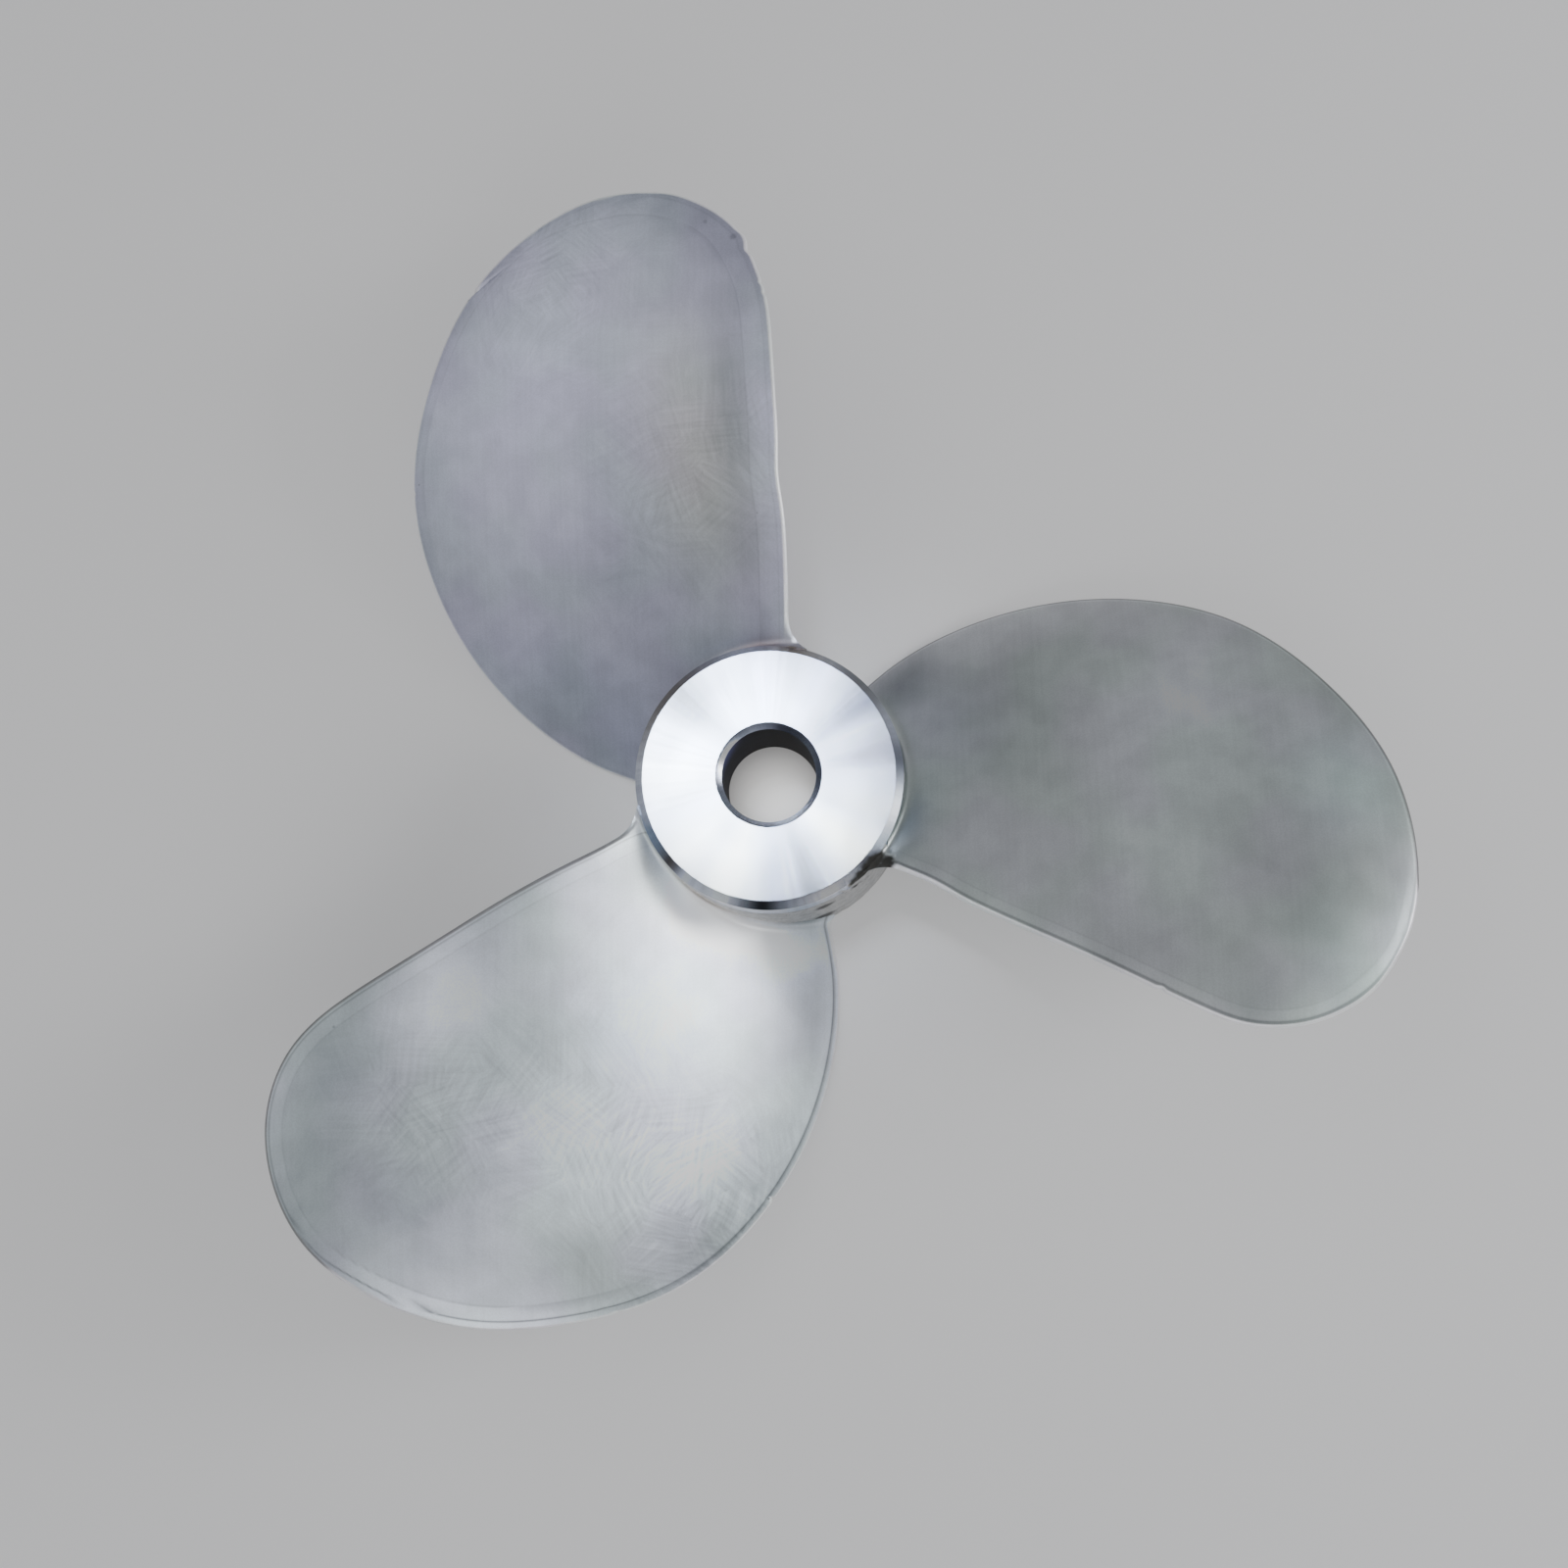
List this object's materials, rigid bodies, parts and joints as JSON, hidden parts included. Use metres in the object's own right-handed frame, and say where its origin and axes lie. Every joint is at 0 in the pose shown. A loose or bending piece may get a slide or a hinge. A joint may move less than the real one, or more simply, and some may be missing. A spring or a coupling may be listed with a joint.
{
  "type": "ship propeller",
  "caption": "Small-craft screw propeller cast in one piece: wide raked left-hand blades on a machined round hub with a plain through bore for the shaft.",
  "frame": {"origin": "on the shaft axis at the propeller's centre of mass, 12.8 mm behind the hub's front face", "axes": "+Z along the shaft axis, out of the machined front face of the hub; +Y along the line of the first blade; the part lies on the hub's rear face"},
  "size_m": [0.3111, 0.2902, 0.0603],
  "materials": {
    "cast_aluminium": "ground and brushed casting, hub face turned bright"
  },
  "bodies": {
    "root": {"propeller": "cast_aluminium"}
  },
  "joints": []
}
